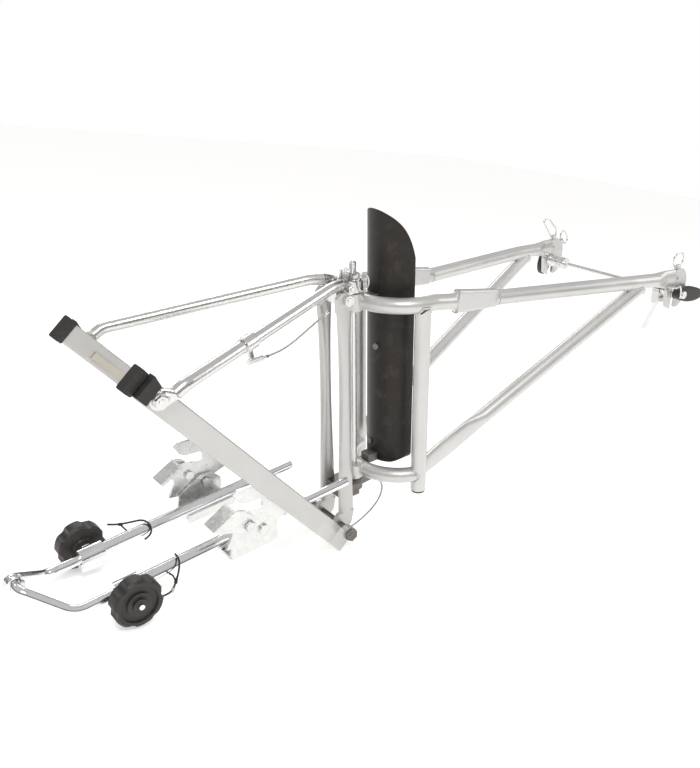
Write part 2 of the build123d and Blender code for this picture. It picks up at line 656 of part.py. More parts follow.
def jaw_bolts():
    """Bolts of the hub jaws: one for each latch, one for each tilt pivot and two into each bar."""
    solids = []
    face = HUB_JAW_Y + JAW_PLATE
    for side in (-1, 1):
        x, z = LATCH_PIVOT
        latch = along_y(x, z, side * (HUB_JAW_Y - 3), side * (face + 5.6), 5.0)
        latch += hexagon(x, z, side * (face + 3.6), side * (face + 7.2), 9.0)
        latch += along_y(x, z, side * (HUB_JAW_Y - 3), side * (HUB_JAW_Y - 0.0), 9.0)
        x, z = TILT_PIVOT
        tilt = along_y(x, z, side * (HUB_JAW_Y - 7.8), side * (face + 2.5), 6.0)
        tilt += along_y(x, z, side * face, side * (face + 2.6), 10.0)
        tilt += hexagon(x, z, side * (HUB_JAW_Y - 4.4), side * (HUB_JAW_Y - 8.6), 9.0)
        solids += [latch, tilt]
        for s in (100, 128):
            x, z = bar_point(s)
            solids.append(along_y(x, z, side * (HUB_JAW_Y - 3.2), side * HUB_JAW_Y, 8.0))
    return Compound(children=[s for part in solids for s in part.solids()])


def hub_latch(side):
    """Sprung thumb lever outside each jaw, with a rubber-faced tab that closes the axle slot."""
    y0, y1 = side * (HUB_JAW_Y + JAW_PLATE + 0.4), side * (HUB_JAW_Y + JAW_PLATE + 3.0)
    arm_outline = [(-158, 19), (-158, 32), (-168, 42.5), (-175, 44.5), (-197, 33), (-195, 28), (-178, 24), (-168, 18)]
    body = side_plate(arm_outline, y0, y1)
    tab_outline = [(-199.5, 32.2), (-176.4, 44.9), (-174.6, 42.0), (-197.6, 29.2)]
    body += side_plate(tab_outline, side * (HUB_JAW_Y - 12), y1)
    pad_outline = [(-196, 34.6), (-178, 44.6), (-176.6, 42.4), (-194.4, 32.6)]
    body += side_plate(pad_outline, side * (HUB_JAW_Y - 11), y1 - side * 1.5)
    return body - along_y(*LATCH_PIVOT, side * 40, side * 75, 5.12)


# ---------------------------------------------------------------- bow
BOW_HEAD_Y = 10.9
BOW_SPAN = ((-38.0, 17.5, 210.6), (-222.0, 79.8, 185.5))


def bow(side):
    """Brace tube from the head bolt to a flat bar, pressed into eyes at both ends."""
    front = [(-25.0, 13.2, 209.8), BOW_SPAN[0]]
    rear = [BOW_SPAN[1], (BOW_BOLT_XZ[0] + 13, BOW_EYE_Y + 3.0, BOW_BOLT_XZ[1] + 3)]
    points = [mirror_y(p, side) for p in front + rear]
    body = swept_tube(points, [60.0, 16.0], BOW_TUBE)
    head = (BOW_HEAD[0], side * BOW_HEAD_Y, BOW_HEAD[1])
    tail = (BOW_BOLT_XZ[0], side * BOW_EYE_Y, BOW_BOLT_XZ[1])
    width = 4.2
    for eye, neck, height in ((head, points[0], 12.6), (tail, points[3], 15.0)):
        direction = Vector(*neck) - Vector(*eye)
        middle = (lerp(eye, neck, 0.5), width + 0.6, height)
        body += oval_run([(eye, width, height), middle, (neck, BOW_TUBE, BOW_TUBE)], direction)
        body += along_y(eye[0], eye[2], eye[1] - width / 2, eye[1] + width / 2, height + 0.6)
    body -= along_y(*BOW_HEAD, side * 5, side * 30, 5.12)
    body -= along_y(*BOW_HEAD, side * (BOW_HEAD_Y + 2.3), side * 30, 11.0)
    body -= along_y(*BOW_BOLT_XZ, side * 60, side * 90, 6.12)
    body -= along_y(*BOW_BOLT_XZ, side * 60, side * (BOW_EYE_Y - 2.3), 13.0)
    body -= along_y(*BOW_BOLT_XZ, side * (BOW_EYE_Y + 2.3), side * 95, 13.0)
    lug_room = side_plate([(-29, 180), (10, 180), (10, 207.8), (-29, 207.8)], side * 2, side * (LUG_HALF + 0.3))
    leg_room = side_plate([(-35, 180), (-11, 180), (-11, 203.4), (-35, 203.4)], side * 13.2, side * 22.5)
    return (body - lug_room - leg_room).solids().sort_by(SortBy.VOLUME)[-1]


CLAMP_T = 0.62


def bow_clamp():
    """Band round the near bow tube, with the ferrule that a lanyard comes out of."""
    near = [mirror_y(p, -1) for p in BOW_SPAN]
    centre = Vector(*lerp(*near, CLAMP_T))
    direction = (Vector(*near[1]) - Vector(*near[0])).normalized()
    ends = [tuple(centre - direction * 7), tuple(centre + direction * 7)]
    band = cylinder(*ends, BOW_TUBE + 3)
    band += cylinder(tuple(centre + Vector(0, -2, -4)), tuple(centre + Vector(0, -5, -14)), 5)
    band -= cylinder(*ends, BOW_TUBE)
    return band + cylinder(LANYARD_FERRULE[0], LANYARD_FERRULE[1], 5.0)


LANYARD_FERRULE = ((-157.0, -63.5, 181.5), (-140.0, -57.5, 179.5))
LANYARD = [
    (-140.0, -57.5, 179.5),
    (-124.0, -52.0, 177.4),
    (-104.0, -45.0, 178.5),
    (-84.0, -38.5, 183.5),
    (-66.0, -34.0, 189.5),
    (-50.0, -31.0, 194.5),
]


# ---------------------------------------------------------------- telescopic tubes
TUBE_FRONT_X = -112.0
TUBE_REAR_X = {-1: -277.0, 1: -283.0}


def outer_tube(side):
    start, end = tube_axis(TUBE_REAR_X[side], side), tube_axis(TUBE_FRONT_X, side)
    body = cylinder(start, end, OUTER_TUBE)
    bore_start, bore_end = tube_axis(TUBE_REAR_X[side] - 5, side), tube_axis(TUBE_FRONT_X + 5, side)
    return body - cylinder(bore_start, bore_end, SLIDE_ROD + 2 * SLIDE_GAP)


def tube_saddle(side):
    """Channel that carries an outer tube and tilts on the hub jaw's lower bolt."""
    x0, x1 = -181.0, -131.0
    low0, low1 = tube_axis(x0, side)[2] - 9.0, tube_axis(x1, side)[2] - 9.0
    wall_outline = [(x0, low0), (x1, low1), (x1, low1 + 18), (-141, 22.5), (-154, 22.5), (x0 + 3, low0 + 16)]
    outer = HUB_JAW_Y - 0.4
    wall = side_plate(wall_outline, side * (outer - 3.0), side * outer)
    base_outline = [(x0, low0), (x1, low1), (x1, low1 + 3), (x0, low0 + 3)]
    wall += side_plate(base_outline, side * (TUBE_Y - 8), side * outer)
    lip_outline = [(x0, low0), (x1, low1), (x1, low1 + 8), (x0, low0 + 8)]
    wall += side_plate(lip_outline, side * (TUBE_Y - 9), side * (TUBE_Y - 5))
    web_outline = [(x0 + 4, low0 + 2), (x1 - 4, low1 + 2), (x1 - 4, low1 + 10), (x0 + 4, low0 + 10)]
    wall += side_plate(web_outline, side * (TUBE_Y + 3), side * (TUBE_Y + 9))
    wall -= cylinder(tube_axis(-200, side), tube_axis(-110, side), OUTER_TUBE)
    wall -= along_y(*TILT_PIVOT, side * 40, side * 70, 6.12)
    return wall.solids().sort_by(SortBy.VOLUME)[-1]


def collar(side):
    """Clamp sleeve on the mouth of an outer tube, with the threaded boss and stud of its knob."""
    x = TUBE_REAR_X[side]
    inner, outer = tube_axis(x - 5.5, side), tube_axis(x + 17, side)
    body = cylinder(inner, outer, 19.0)
    face = Plane(origin=(x + 4, side * TUBE_Y, tube_axis(x + 4, side)[2]), z_dir=(0, side, 0))
    body += loft([face.offset(4) * Circle(9.5), face.offset(11.6) * Circle(8.0)])
    body += extrude(face.offset(9) * Circle(KNOB_STUD / 2), 24)
    body += Pos(x + 4, side * TUBE_Y, tube_axis(x + 4, side)[2] - 9) * Box(20, 9, 8)
    body -= cylinder(tube_axis(x - 12, side), tube_axis(x + 30, side), SLIDE_ROD + 2 * SLIDE_GAP)
    tube_start, tube_end = tube_axis(x, side), tube_axis(x + 40, side)
    return body - cylinder(tube_start, tube_end, OUTER_TUBE)


def knob_centre(side):
    x = TUBE_REAR_X[side] + 4
    return (x, side * TUBE_Y, tube_axis(x, side)[2])


def knob(side):
    """Star knob with scalloped rim, raised ring and hub."""
    x, y, z = knob_centre(side)
    base = Plane(origin=(x, y + side * 13.6, z), z_dir=(0, side, 0))
    radius = KNOB_DIAMETER / 2
    body = extrude(base * Circle(radius), 15)
    body = chamfer(body.edges(), 2.0)
    scallop = 7.5
    for k in range(6):
        angle = math.radians(60 * k + KNOB_TURN[side])
        spot = Pos((radius + 4.6) * math.cos(angle), (radius + 4.6) * math.sin(angle))
        body -= extrude(base.offset(-1) * (spot * Circle(scallop)), 30)
    body += extrude(base.offset(-1.6) * Circle(11), 5)
    body -= extrude(base.offset(13.0) * (Circle(17.0) - Circle(11.0)), 3)
    body += extrude(base.offset(10.0) * Circle(6.5), 7.4)
    return body - extrude(base.offset(-5) * Circle(KNOB_STUD / 2 + 0.06), 40)


def u_rod():
    """Sliding U-shaped rod: two straight legs that telescope, joined by a raised rounded bow."""
    near_end, far_end = tube_axis(-35.0, -1), tube_axis(-58.0, 1)
    near_bend, far_bend = tube_axis(-318.0, -1), tube_axis(-318.0, 1)
    points = [near_end, near_bend, (-353.5, -11.0, 14.0), (-353.5, 11.0, 14.0), far_bend, far_end]
    return swept_tube(points, [22.0, 9.0, 9.0, 22.0], SLIDE_ROD)


def roller():
    """Grooved bush that turns on the middle of the U-rod."""
    body = along_y(-353.5, 14.0, -4.5, 4.5, 16.5)
    body -= along_y(-353.5, 14.0, -2.0, 2.0, 16.6) - along_y(-353.5, 14.0, -3.0, 3.0, 14.5)
    return body - along_y(-353.5, 14.0, -6, 6, SLIDE_ROD + 0.12)


TETHERS = {
    -1: [
        (-249.0, -52.0, -16.0),
        (-239.2, -50.0, -18.7),
        (-233.2, -47.5, -10.7),
        (-228.0, -45.5, -1.8),
        (-225.3, -42.0, 8.1),
        (-224.5, -32.0, 5.7),
    ],
    1: [
        (-252.8, 51.0, 5.3),
        (-244.6, 48.5, 2.7),
        (-230.5, 43.0, 3.6),
        (-223.8, 38.0, 5.6),
        (-221.0, 29.5, 5.8),
        (-220.3, 25.0, 0.6),
        (-223.5, 23.0, -4.6),
        (-229.1, 23.5, -6.6),
    ],
}


def write_tow_frame():
    save(upper_yoke(), "upper_yoke")
    save(lower_yoke(), "lower_yoke")
    save(strut_plugs(), "strut_plugs")
    save(mudguard(), "mudguard")
    save(mudguard_fixings(), "mudguard_fixings")
    save(skewer(), "skewer")
    save(cam_housing(), "cam_housing")
    save(cam_lever(), "cam_lever")
    save(axle_nut(), "axle_nut")
    save(keeper(), "keeper_near")
    save(clip("far_second"), "clip_far_second")
    save(lock_lever(-1, 10, 27.5), "lock_lever_near")
    save(lock_lever(1, 100, 15.0), "lock_lever_far")
    for side, name in ((-1, "near"), (1, "far")):
        save(arm(side), f"arm_{name}")
        save(strut(side), f"strut_{name}")
        save(diagonal(side), f"diagonal_{name}")
        save(dropout(side), f"dropout_{name}")
        save(clip(name), f"clip_{name}")


def write_drawbar():
    save(head_lug(), "head_lug")
    save(foot_lug(), "foot_lug")
    save(steering_pin(), "steering_pin")
    save(pin_hardware(), "pin_hardware")
    save(pull_ring(), "pull_ring")
    save(hinge_axle(), "hinge_axle")
    save(head_bolt(), "head_bolt")
    save(cord("foot_wire", FOOT_WIRE, CORD_WIRE), "foot_wire")
    for side, name in ((-1, "near"), (1, "far")):
        save(leg(side), f"leg_{name}")


def write_bars():
    save(bar_caps(), "bar_caps")
    save(bow_bolts(), "bow_bolts")
    save(bumpers(), "bumpers")
    save(reflectors(), "reflectors")
    save(jaw_bolts(), "jaw_bolts")
    save(bow_clamp(), "bow_clamp")
    save(cord("lanyard", LANYARD, CORD_WIRE), "lanyard")
    for side, name in ((-1, "near"), (1, "far")):
        save(bar(side), f"bar_{name}")
        save(hub_jaw(side), f"hub_jaw_{name}")
        save(hub_latch(side), f"hub_latch_{name}")
        save(bow(side), f"bow_{name}")


def write_tubes():
    save(u_rod(), "u_rod")
    save(roller(), "roller")
    for side, name in ((-1, "near"), (1, "far")):
        save(outer_tube(side), f"outer_tube_{name}")
        save(tube_saddle(side), f"tube_saddle_{name}")
        save(collar(side), f"collar_{name}")
        save(knob(side), f"knob_{name}")
        save(cord(f"tether_{name}", TETHERS[side], CORD_WIRE), f"tether_{name}")


os.makedirs("parts", exist_ok=True)
write_tow_frame()
write_drawbar()
write_bars()
write_tubes()
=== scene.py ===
import bmesh
import bpy
import json
import math
from mathutils import Matrix, Vector


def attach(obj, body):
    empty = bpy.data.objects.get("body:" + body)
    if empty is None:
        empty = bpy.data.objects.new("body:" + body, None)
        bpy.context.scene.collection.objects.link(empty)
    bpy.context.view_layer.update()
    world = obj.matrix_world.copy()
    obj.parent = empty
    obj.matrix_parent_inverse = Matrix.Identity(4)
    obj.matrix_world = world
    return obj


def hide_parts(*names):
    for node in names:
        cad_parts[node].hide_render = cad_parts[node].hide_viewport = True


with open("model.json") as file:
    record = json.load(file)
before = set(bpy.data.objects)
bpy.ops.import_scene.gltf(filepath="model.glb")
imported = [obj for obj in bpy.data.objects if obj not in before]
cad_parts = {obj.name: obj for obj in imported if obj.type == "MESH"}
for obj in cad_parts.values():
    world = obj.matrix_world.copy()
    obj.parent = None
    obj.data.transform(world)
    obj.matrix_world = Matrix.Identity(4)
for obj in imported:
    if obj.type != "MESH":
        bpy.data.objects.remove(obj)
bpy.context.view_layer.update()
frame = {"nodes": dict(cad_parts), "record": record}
nodes = frame["nodes"]

# ------------------------------------------------------------------ the frame's own axes
# Points are given as in the CAD: millimetres, steering pin upright. at() leans them on to the floor.
REST_TILT = math.radians(-8.39)
REST_HEIGHT = 71.32
REST_X = -34.810
LEAN = Matrix.Rotation(REST_TILT, 4, "Y")


def at(x, y, z):
    p = LEAN @ Vector((x, y, z)) + Vector((REST_X, 0, REST_HEIGHT))
    return p / 1000


# ------------------------------------------------------------------ camera
LENS_MM = 43.2
CAMERA_AT = (-477.6, -618.4, 441.5)
AZIMUTH, ELEVATION, ROLL = math.radians(-37.45), math.radians(23.76), math.radians(-0.40)
right = Vector((math.cos(AZIMUTH), math.sin(AZIMUTH), 0))
up = Vector(
    (-math.sin(AZIMUTH) * math.sin(ELEVATION), math.cos(AZIMUTH) * math.sin(ELEVATION), math.cos(ELEVATION))
)
back = right.cross(up)
right, up = right * math.cos(ROLL) + up * math.sin(ROLL), up * math.cos(ROLL) - right * math.sin(ROLL)
camera_data = bpy.data.cameras.new("camera")
camera_data.sensor_fit = "HORIZONTAL"
camera_data.sensor_width = 36
camera_data.lens = LENS_MM
camera_data.clip_start = 0.02
camera_data.clip_end = 20
camera = bpy.data.objects.new("camera", camera_data)
bpy.context.scene.collection.objects.link(camera)
turn = Matrix((right, up, back)).transposed().to_4x4()
camera.matrix_world = Matrix.Translation(at(*CAMERA_AT)) @ LEAN @ turn
bpy.context.scene.camera = camera


# ------------------------------------------------------------------ node helpers
class Sock:
    """A node output that can be added, multiplied and so on."""

    def __init__(self, mat, out):
        self.mat = mat
        self.out = out

    def math(self, operation, other=None, third=None):
        return self.mat.add("ShaderNodeMath", operation=operation, inputs=(self, other, third))

    def __add__(self, other):
        return self.math("ADD", other)

    def __sub__(self, other):
        return self.math("SUBTRACT", other)

    def __mul__(self, other):
        return self.math("MULTIPLY", other)

    def step(self, low, high, to_low=0.0, to_high=1.0):
        return self.mat.add("ShaderNodeMapRange", inputs=(self, low, high, to_low, to_high))


class Mat:
    """A procedural material built round one Principled shader."""

    def __init__(self, name, **constants):
        self.material = bpy.data.materials.new(name)
        self.material.use_nodes = True
        self.tree = self.material.node_tree
        self.shader = self.tree.nodes["Principled BSDF"]
        for key, value in constants.items():
            self.shader.inputs[key.replace("_", " ")].default_value = value

    def add(self, kind, inputs=(), output=0, **settings):
        node = self.tree.nodes.new(kind)
        for key, value in settings.items():
            setattr(node, key, value)
        items = inputs.items() if isinstance(inputs, dict) else enumerate(inputs)
        for key, value in items:
            if value is None:
                continue
            if isinstance(value, Sock):
                self.tree.links.new(value.out, node.inputs[key])
            else:
                node.inputs[key].default_value = value
        return Sock(self, node.outputs[output])

    def coords(self, scale=(1, 1, 1), rotation=(0, 0, 0)):
        place = self.add("ShaderNodeTexCoord", output="Object")
        return self.add("ShaderNodeMapping", {"Vector": place, "Rotation": rotation, "Scale": scale})

    def noise(self, where, scale, detail=3.0, rough=0.5):
        values = {"Vector": where, "Scale": scale, "Detail": detail, "Roughness": rough}
        return self.add("ShaderNodeTexNoise", values)

    def cells(self, where, scale, feature="F1", output="Distance"):
        return self.add("ShaderNodeTexVoronoi", {"Vector": where, "Scale": scale}, output, feature=feature)

    def wave(self, where, scale, distort=0.0):
        values = {"Vector": where, "Scale": scale, "Distortion": distort}
        return self.add("ShaderNodeTexWave", values, "Fac")

    def mix(self, factor, first, second):
        return self.add("ShaderNodeMix", {0: factor, 6: first, 7: second}, 2, data_type="RGBA")

    def edges(self, radius=0.0012):
        """Bright on outer edges: how far the bevelled normal leaves the true one."""
        bent = self.add("ShaderNodeBevel", {"Radius": radius}, samples=4)
        true = self.add("ShaderNodeNewGeometry", output="Normal")
        same = self.add("ShaderNodeVectorMath", {0: bent, 1: true}, "Value", operation="DOT_PRODUCT")
        return same.step(0.98, 0.80)

    def bump(self, height, strength, distance):
        soft = self.add("ShaderNodeBevel", {"Radius": 0.0006}, samples=4)
        values = {"Height": height, "Strength": strength, "Distance": distance, "Normal": soft}
        return self.add("ShaderNodeBump", values)

    def to(self, **links):
        for key, value in links.items():
            self.tree.links.new(value.out, self.shader.inputs[key.replace("_", " ")])
        return self


def rgb(r, g, b):
    return (r, g, b, 1.0)


# ------------------------------------------------------------------ materials
def painted_silver(name, tone, metal=0.55, rough=0.36):
    """Satin silver lacquer over tube: fine flake, faint handling marks, small scuffs."""
    m = Mat(name, Metallic=metal, Coat_Weight=0.25, Coat_Roughness=0.22)
    where = m.coords()
    flake = m.cells(where, 2600)
    cloud = m.noise(where, 22, 4)
    marks = m.noise(m.coords((1, 1, 9)), 60, 5, 0.62)
    scuff = marks.step(0.66, 0.76)
    dust = m.noise(where, 420, 2)
    shade = m.mix(cloud.step(0.35, 0.65), rgb(*[c * 0.93 for c in tone]), rgb(*tone))
    shade = m.mix(scuff * 0.35, shade, rgb(*[c * 0.78 for c in tone]))
    shade = m.mix(dust.step(0.70, 0.80) * 0.25, shade, rgb(0.42, 0.39, 0.35))
    m.to(Base_Color=shade)
    m.to(Roughness=cloud.step(0.3, 0.7, rough - 0.05, rough + 0.07) + scuff * 0.12)
    m.to(Normal=m.bump(flake * 0.4 + cloud * 0.6 + scuff * 0.3, 0.25, 0.00012))
    return m.material


def brushed(name, tone, metal=0.85, rough=0.30, stretch=(1, 1, 60), turn_to=(0, 0, 0), grain=90):
    """Rolled or brushed metal: long fine grain, a few scratches and worn, brighter edges."""
    m = Mat(name, Metallic=metal)
    where = m.coords()
    lines = m.noise(m.coords(stretch, turn_to), grain, 4, 0.6)
    cloud = m.noise(where, 30, 3)
    scratch = m.cells(m.coords(tuple(v * 0.6 + 0.4 for v in stretch), turn_to), 160, "DISTANCE_TO_EDGE")
    fine = scratch.step(0.03, 0.0)
    shade = m.mix(lines.step(0.3, 0.7), rgb(*[c * 0.86 for c in tone]), rgb(*tone))
    shade = m.mix(cloud.step(0.4, 0.75) * 0.3, shade, rgb(*[c * 0.80 for c in tone]))
    shade = m.mix(m.edges() * 0.5, shade, rgb(*[min(1.0, c * 1.12) for c in tone]))
    m.to(Base_Color=shade)
    m.to(Roughness=lines.step(0.3, 0.7, rough - 0.07, rough + 0.10) + cloud * 0.05)
    m.to(Normal=m.bump(lines * 0.7 + fine * 0.15, 0.18, 0.0001))
    return m.material


def chromed(name):
    """Bright chrome plate: slight waviness, fine wiping marks, a few dull specks."""
    m = Mat(name, Metallic=1.0)
    where = m.coords()
    wave = m.noise(where, 26, 2)
    wipe = m.noise(m.coords((9, 60, 60)), 22, 4, 0.6)
    speck = m.noise(where, 700, 2).step(0.72, 0.80)
    shade = m.mix(wipe.step(0.35, 0.7) * 0.4, rgb(0.86, 0.86, 0.87), rgb(0.76, 0.76, 0.77))
    shade = m.mix(speck * 0.5, shade, rgb(0.45, 0.42, 0.38))
    m.to(Base_Color=shade)
    m.to(Roughness=wipe.step(0.3, 0.75, 0.07, 0.17) + speck * 0.25)
    m.to(Normal=m.bump(wave + wipe * 0.08, 0.10, 0.0004))
    return m.material


def zinc(name):
    """Bright zinc-plated sheet with a faint spangle and whitish bloom."""
    m = Mat(name, Metallic=0.9)
    where = m.coords()
    spangle = m.cells(where, 150, "F1", "Color")
    tint = m.add("ShaderNodeSeparateColor", {"Color": spangle}, "Red")
    bloom = m.noise(where, 45, 5, 0.65).step(0.5, 0.72)
    fine = m.noise(m.coords((1, 1, 30)), 120, 3)
    shade = m.mix(tint, rgb(0.70, 0.71, 0.71), rgb(0.80, 0.80, 0.78))
    shade = m.mix(bloom * 0.35, shade, rgb(0.86, 0.86, 0.85))
    shade = m.mix(m.edges(0.0008) * 0.5, shade, rgb(0.93, 0.92, 0.90))
    m.to(Base_Color=shade)
    m.to(Roughness=tint.step(0.0, 1.0, 0.22, 0.34) + bloom * 0.14)
    m.to(Normal=m.bump(fine * 0.5 + tint * 0.2, 0.15, 0.0001))
    return m.material


def moulded(name, tone, rough=0.42, grain=900, scale=0.00025, coat=0.0, shine=0.5):
    """Moulded plastic: fine spark-eroded grain, faint flow lines, dust and rubbed edges."""
    m = Mat(name, Coat_Weight=coat, Coat_Roughness=0.18, Specular_IOR_Level=shine)
    where = m.coords()
    pores = m.noise(where, grain, 3, 0.6)
    flow = m.noise(m.coords((1, 1, 0.18)), 55, 4, 0.55)
    rub = m.edges(0.0015)
    dust = m.noise(where, 75, 5, 0.7).step(0.52, 0.78)
    shade = m.mix(flow.step(0.3, 0.7), rgb(*[c * 0.86 for c in tone]), rgb(*[c * 1.12 for c in tone]))
    shade = m.mix(dust * 0.10, shade, rgb(0.30, 0.27, 0.24))
    shade = m.mix(rub * 0.30, shade, rgb(*[min(1, c * 2.2) for c in tone]))
    m.to(Base_Color=shade)
    m.to(Roughness=flow.step(0.3, 0.7, rough - 0.05, rough + 0.06) + dust * 0.10 - rub * 0.08)
    m.to(Normal=m.bump(pores, 0.22, scale))
    return m.material


def dark_steel(name):
    """Blackened steel with oily streaks and bright rubbed edges."""
    m = Mat(name, Metallic=0.8)
    where = m.coords()
    cloud = m.noise(where, 70, 5, 0.6)
    rub = m.edges(0.001)
    shade = m.mix(cloud.step(0.35, 0.7), rgb(0.10, 0.09, 0.085), rgb(0.26, 0.24, 0.22))
    shade = m.mix(rub * 0.7, shade, rgb(0.62, 0.60, 0.57))
    m.to(Base_Color=shade)
    m.to(Roughness=cloud.step(0.3, 0.7, 0.30, 0.52) - rub * 0.10)
    m.to(Normal=m.bump(cloud, 0.3, 0.0003))
    return m.material


def rope(name, tone, metal, rough):
    """Thin laid cord: slanting strands seen as a fine spiral in height, with painted shade darkening the
    grooves between them.
    """
    m = Mat(name, Metallic=metal)
    uv = m.add("ShaderNodeTexCoord", output="UV")
    where = m.coords()
    slant = m.add("ShaderNodeMapping", {"Vector": uv, "Rotation": (0, 0, 0.9), "Scale": (30, 4, 1)})
    twist_and_groove_shade = m.wave(slant, 3.0)
    fuzz = m.noise(where, 1400, 3)
    # painted shade: the grooves between strands, low in height, are darkened to 0.6 of the tone
    shade = m.mix(twist_and_groove_shade, rgb(*[c * 0.6 for c in tone]), rgb(*tone))
    shade = m.mix(fuzz.step(0.55, 0.75) * 0.3, shade, rgb(*[c * 0.8 for c in tone]))
    m.to(Base_Color=shade)
    m.to(Roughness=twist_and_groove_shade.step(0.0, 1.0, rough + 0.1, rough))
    m.to(Normal=m.bump(twist_and_groove_shade + fuzz * 0.2, 0.6, 0.0002))
    return m.material


FINISH = {
    "tow_tube": painted_silver("satin_silver_tube", (0.665, 0.655, 0.64)),
    "pale_steel": painted_silver("satin_silver_bar", (0.60, 0.59, 0.575), 0.6, 0.34),
    "bright_steel": brushed("bright_steel", (0.78, 0.77, 0.76), 0.95, 0.20, (1, 30, 1)),
    "dark_steel": dark_steel("blackened_steel"),
    "chrome_tube": chromed("chrome_plate"),
    "zinc_sheet": zinc("zinc_plate"),
    "guard_plastic": moulded("mudguard_plastic", (0.020, 0.016, 0.0135), 0.40, 700, 0.00012, 0.0, 0.32),
    "black_plastic": moulded("black_plastic", (0.026, 0.022, 0.020), 0.46, 1300, 0.0002),
    "black_rubber": moulded("black_rubber", (0.030, 0.027, 0.025), 0.62, 1500, 0.0003),
    "tan_strip": brushed("tan_strip", (0.62, 0.58, 0.50), 0.2, 0.38, (40, 1, 1), (0, 0.86, 0), 60),
    "wire_rope": rope("steel_wire_rope", (0.74, 0.72, 0.69), 0.85, 0.32),
    "black_cord": rope("black_cord", (0.05, 0.045, 0.042), 0.0, 0.55),
}
SLOT = {entry["node"]: entry["material_slot"] for entry in frame["record"]["subparts"]}


def paint(obj, material):
    obj.data.materials.clear()
    obj.data.materials.append(material)


for name, node in nodes.items():
    paint(node, FINISH[SLOT[name]])


# ------------------------------------------------------------------ cords
CORDS = {
    "foot_wire": (
        "drawbar",
        "wire_rope",
        [
            (24.5, -7.0, -17.5),
            (33.0, -10.0, -24.0),
            (25.0, -15.0, -38.0),
            (8.0, -18.5, -47.0),
            (-9.0, -20.0, -53.0),
            (-19.0, -20.6, -54.5),
        ],
        "medium",
    ),
    "lanyard": (
        "drawbar",
        "wire_rope",
        [
            (-140.0, -57.5, 179.5),
            (-124.0, -52.0, 177.4),
            (-104.0, -45.0, 178.5),
            (-84.0, -38.5, 183.5),
            (-66.0, -34.0, 189.5),
            (-50.0, -31.0, 194.5),
        ],
        "medium",
    ),
    "tether_near": (
        "tube_frame",
        "black_cord",
        [
            (-249.0, -52.0, -16.0),
            (-239.2, -50.0, -18.7),
            (-233.2, -47.5, -10.7),
            (-228.0, -45.5, -1.8),
            (-225.3, -42.0, 8.1),
            (-224.5, -32.0, 5.7),
        ],
        "limp",
    ),
    "tether_far": (
        "tube_frame",
        "black_cord",
        [
            (-252.8, 51.0, 5.3),
            (-244.6, 48.5, 2.7),
            (-230.5, 43.0, 3.6),
            (-223.8, 38.0, 5.6),
            (-221.0, 29.5, 5.8),
            (-220.3, 25.0, 0.6),
            (-223.5, 23.0, -4.6),
            (-229.1, 23.5, -6.6),
        ],
        "limp",
    ),
}
CORD_DIAMETER = 0.0018


def spline_length(obj):
    """Length of a curve object's line, measured with its bevel off."""
    depth = obj.data.bevel_depth
    obj.data.bevel_depth = 0
    line = bpy.data.meshes.new_from_object(obj)
    obj.data.bevel_depth = depth
    points = [v.co.copy() for v in line.vertices]
    bpy.data.meshes.remove(line)
    return sum((b - a).length for a, b in zip(points, points[1:]))


for name, (body, finish, route, stiffness) in CORDS.items():
    curve = bpy.data.curves.new(name + "_line", "CURVE")
    curve.dimensions = "3D"
    spline = curve.splines.new("NURBS")
    spline.points.add(len(route) - 1)
    for point, place in zip(spline.points, route):
        point.co = (*at(*place), 1)
        point.radius = CORD_DIAMETER / 2
    spline.order_u = 3
    spline.use_endpoint_u = True
    spline.resolution_u = 12
    curve.bevel_depth = 1.0  # scaled by the points' radius, which a curve's bounds reach out by
    curve.bevel_resolution = 4
    curve.use_fill_caps = True
    curve.materials.append(FINISH[finish])
    cord = bpy.data.objects.new(name + "_line", curve)
    bpy.context.scene.collection.objects.link(cord)
    bpy.context.view_layer.update()
    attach(cord, body)
    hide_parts(name)
    spline_length(cord)


# ------------------------------------------------------------------ small modelled details
def tube(name, points, radius, body, finish, closed=False, wobble=0.0, sides=10):
    """Round bead along a path of CAD points; wobble ripples its thickness like a weld."""
    path = [at(*p) for p in points]
    count = len(path)
    bm = bmesh.new()
    rings = []
    normal = None
    for i, centre in enumerate(path):
        before = path[i - 1] if closed or i else path[0]
        after = path[(i + 1) % count] if closed or i < count - 1 else path[-1]
        along = (after - before).normalized()
        if normal is None:
            normal = along.orthogonal().normalized()
        normal = (normal - along * normal.dot(along)).normalized()
        side = along.cross(normal)
        thick = radius / 1000 * (1 + wobble * math.sin(i * 1.9) + wobble * 0.5 * math.sin(i * 0.7))
        angles = [2 * math.pi * k / sides for k in range(sides)]
        rims = [normal * math.cos(a) + side * math.sin(a) for a in angles]
        rings.append([bm.verts.new(centre + rim * thick) for rim in rims])
    spans = count if closed else count - 1
    for i in range(spans):
        first, second = rings[i], rings[(i + 1) % count]
        for k in range(sides):
            m = (k + 1) % sides
            bm.faces.new((first[k], first[m], second[m], second[k]))
    if not closed:
        bm.faces.new(list(reversed(rings[0])))
        bm.faces.new(rings[-1])
    bmesh.ops.recalc_face_normals(bm, faces=bm.faces)
    for face in bm.faces:
        face.smooth = len(face.verts) == 4
    mesh = bpy.data.meshes.new(name)
    bm.to_mesh(mesh)
    bm.free()
    mesh.materials.append(FINISH[finish])
    obj = bpy.data.objects.new(name, mesh)
    bpy.context.scene.collection.objects.link(obj)
    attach(obj, body)
    return obj


def helix(x, y, low, high, radius, pitch, steps=16):
    """Points of an upright screw line."""
    total = int((high - low) / pitch * steps)
    turns = [(2 * math.pi * k / steps, low + pitch * k / steps) for k in range(total + 1)]
    return [(x + radius * math.cos(a), y + radius * math.sin(a), z) for a, z in turns]


